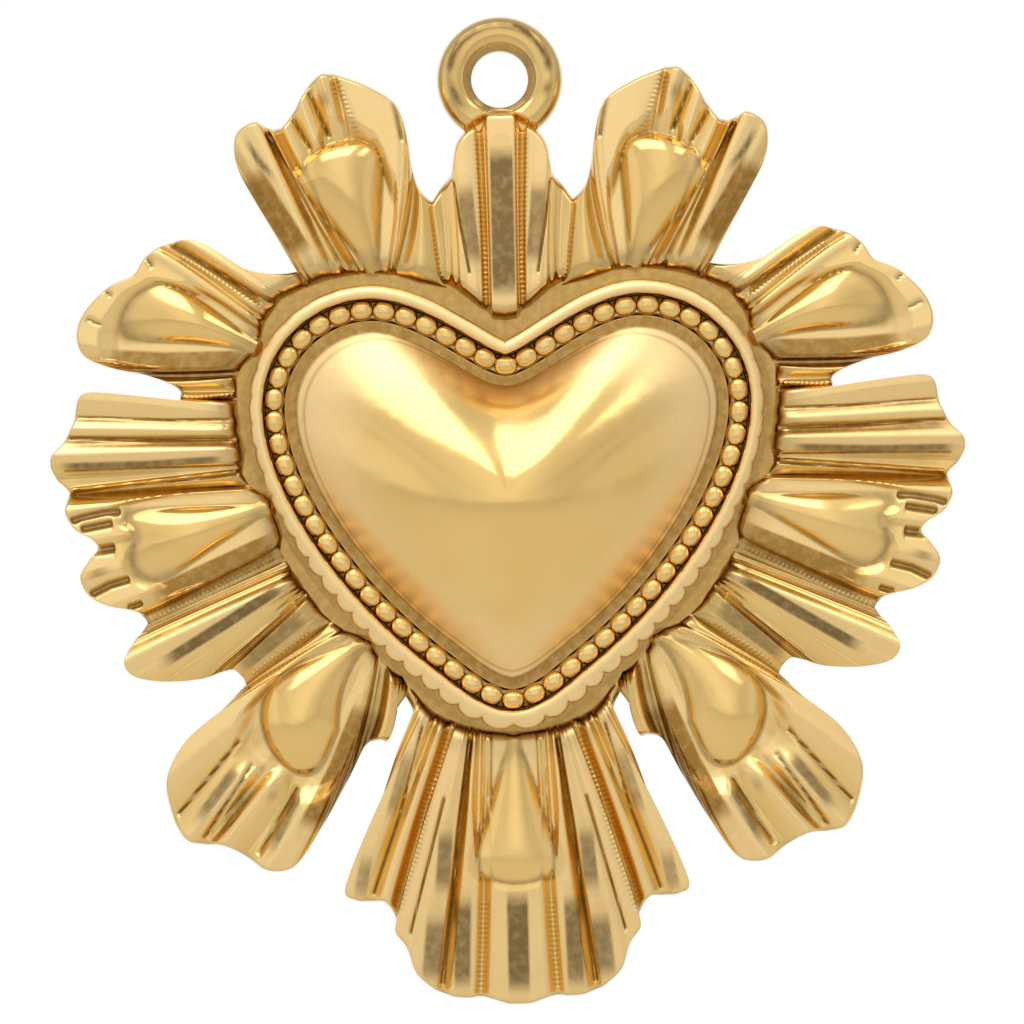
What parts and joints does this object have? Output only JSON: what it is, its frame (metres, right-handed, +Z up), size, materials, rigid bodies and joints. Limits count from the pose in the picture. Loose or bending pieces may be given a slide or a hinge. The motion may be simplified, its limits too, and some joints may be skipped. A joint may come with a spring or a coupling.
{
  "type": "milagro heart charm",
  "caption": "Milagro charm: a smooth domed heart in a beaded and scalloped collar on a glory of fluted rays with teardrop bosses, hung by a fixed ring",
  "frame": {"origin": "centre of the bore of the hanging ring", "axes": "the charm hangs upright: +Z up, the relief faces -Y, and X runs across the charm, which is mirrored about X = 0"},
  "size_m": [0.0458, 0.0054, 0.0493],
  "materials": {
    "gold_plating": "polished gold plating on brass"
  },
  "bodies": {
    "root": {"ray_plate": "gold_plating", "heart_dome": "gold_plating", "bead_border": "gold_plating", "scallop_rim": "gold_plating", "hanging_ring": "gold_plating"}
  },
  "joints": []
}
